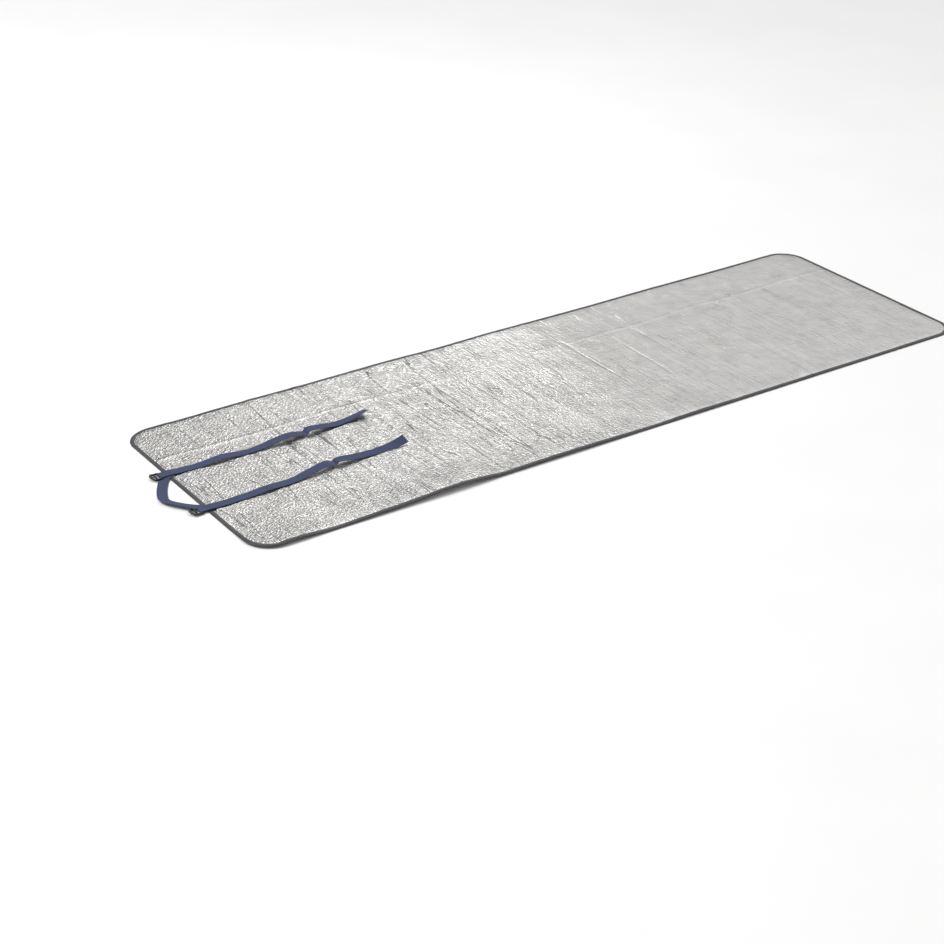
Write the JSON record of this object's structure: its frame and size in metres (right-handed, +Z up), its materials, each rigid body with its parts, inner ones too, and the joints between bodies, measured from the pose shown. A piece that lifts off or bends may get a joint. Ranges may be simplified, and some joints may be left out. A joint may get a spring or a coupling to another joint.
{
  "type": "foam sleeping pad",
  "caption": "Thin foil-faced foam sleeping pad with taped edges, two closing straps with ladder buckles and a webbing carry handle on one end; its sides fold in at two creases.",
  "frame": {"origin": "floor level, in the middle of the whole object's footprint", "axes": "+X along the pad from the strap end to the plain end, +Y across it towards the left flap, +Z up"},
  "size_m": [1.928, 0.6, 0.0101],
  "materials": {
    "foam": "matte closed-cell foam",
    "top_foil": "crinkled bright film",
    "bottom_foil": "crinkled bright film",
    "binding_tape": "woven tape",
    "grey_thread": "sewing thread",
    "webbing": "woven webbing",
    "navy_thread": "sewing thread",
    "buckle_plastic": "moulded satin plastic"
  },
  "bodies": {
    "pad": {"foam_core_middle": "foam", "top_foil_middle": "top_foil", "bottom_foil_middle": "bottom_foil", "edge_binding_middle": "binding_tape", "binding_seam_middle": "grey_thread", "buckle_loop_left": "webbing", "buckle_loop_right": "webbing", "box_stitch_left": "navy_thread", "box_stitch_right": "navy_thread", "handle_ends": "webbing"},
    "left_flap": {"foam_core_left": "foam", "top_foil_left": "top_foil", "bottom_foil_left": "bottom_foil", "edge_binding_left": "binding_tape", "binding_seam_left": "grey_thread"},
    "right_flap": {"foam_core_right": "foam", "top_foil_right": "top_foil", "bottom_foil_right": "bottom_foil", "edge_binding_right": "binding_tape", "binding_seam_right": "grey_thread"},
    "strap_left": {"strap_left": "webbing"},
    "strap_right": {"strap_right": "webbing"},
    "buckle_left": {"buckle_left": "buckle_plastic"},
    "buckle_right": {"buckle_right": "buckle_plastic"},
    "handle": {"handle": "webbing"}
  },
  "joints": [
    {"name": "left_flap_fold", "type": "hinge", "parent": "pad", "child": "left_flap", "pos_m": [0, 0.15, 0.0029], "axis": [1, 0, 0], "range_deg": [0, 160]},
    {"name": "right_flap_fold", "type": "hinge", "parent": "pad", "child": "right_flap", "pos_m": [0, -0.15, 0.0029], "axis": [-1, 0, 0], "range_deg": [0, 160]},
    {"name": "left_strap_swing", "type": "hinge", "parent": "pad", "child": "strap_left", "pos_m": [-0.89175, 0.087, 0.0067], "axis": [0, 1, 0], "range_deg": [-150, 0]},
    {"name": "right_strap_swing", "type": "hinge", "parent": "pad", "child": "strap_right", "pos_m": [-0.89175, -0.087, 0.0067], "axis": [0, 1, 0], "range_deg": [-150, 0]},
    {"name": "left_buckle_pivot", "type": "hinge", "parent": "pad", "child": "buckle_left", "pos_m": [-0.92, 0.087, 0.0033], "axis": [0, 1, 0], "range_deg": [0, 110]},
    {"name": "right_buckle_pivot", "type": "hinge", "parent": "pad", "child": "buckle_right", "pos_m": [-0.92, -0.087, 0.0033], "axis": [0, 1, 0], "range_deg": [0, 110]},
    {"name": "handle_swing", "type": "hinge", "parent": "pad", "child": "handle", "pos_m": [-0.906, 0, 0.0045], "axis": [0, 1, 0], "range_deg": [0, 170]}
  ]
}
